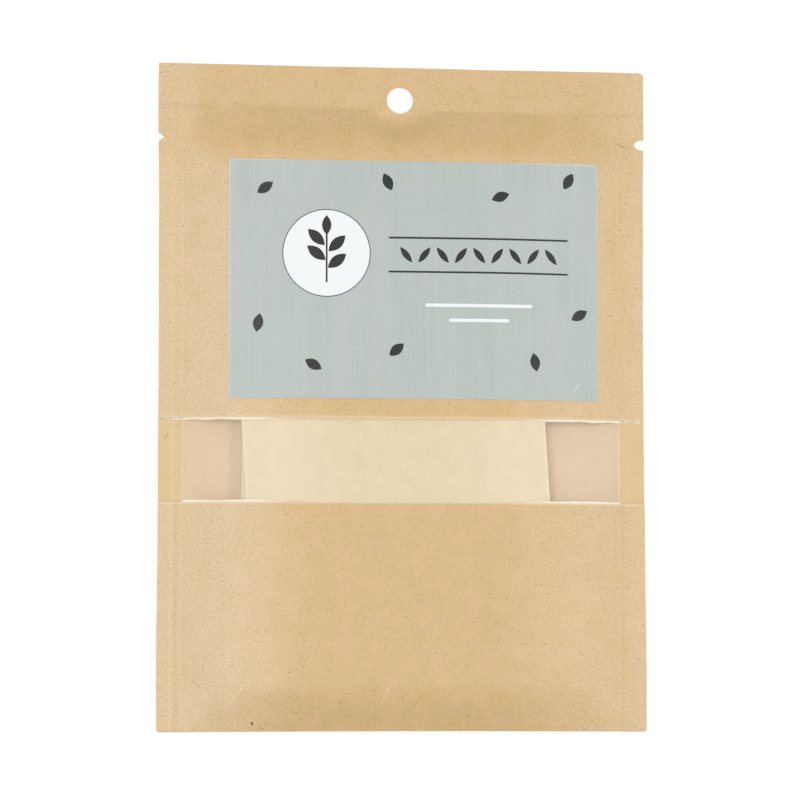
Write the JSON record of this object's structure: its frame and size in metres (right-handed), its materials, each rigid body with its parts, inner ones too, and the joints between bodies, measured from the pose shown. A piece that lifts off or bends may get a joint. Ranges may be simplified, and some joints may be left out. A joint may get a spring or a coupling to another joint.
{
  "type": "pack of paper tea filters",
  "caption": "Flat brown paper pouch with a hang hole, tear notches, a clear strip window and a plain printed label, holding a stack of cream paper tea filters.",
  "frame": {"origin": "below the middle of the pack, on the surface that the pack lies on with its back down", "axes": "+Z out of the front, where the window and the label are; +Y towards the pouch's top edge with the hang hole; +X to the right as the front is seen with its top up"},
  "size_m": [0.112, 0.1525, 0.0074],
  "materials": {
    "brown_paper": "matte",
    "clear_film": "satin",
    "label_paper": "satin",
    "filter_paper": "matte"
  },
  "bodies": {
    "root": {"pouch_body": "brown_paper", "pouch_upper_front": "brown_paper", "window_film": "clear_film", "label": "label_paper", "tea_filter_01": "filter_paper", "tea_filter_02": "filter_paper", "tea_filter_03": "filter_paper", "tea_filter_04": "filter_paper", "tea_filter_05": "filter_paper", "tea_filter_06": "filter_paper", "tea_filter_07": "filter_paper", "tea_filter_08": "filter_paper", "tea_filter_09": "filter_paper", "tea_filter_10": "filter_paper", "tea_filter_11": "filter_paper", "tea_filter_12": "filter_paper", "tea_filter_13": "filter_paper", "tea_filter_14": "filter_paper", "tea_filter_15": "filter_paper", "tea_filter_16": "filter_paper", "tea_filter_17": "filter_paper", "tea_filter_18": "filter_paper", "tea_filter_19": "filter_paper", "tea_filter_20": "filter_paper", "tea_filter_21": "filter_paper", "tea_filter_22": "filter_paper", "tea_filter_23": "filter_paper", "tea_filter_24": "filter_paper", "tea_filter_25": "filter_paper"}
  },
  "joints": []
}
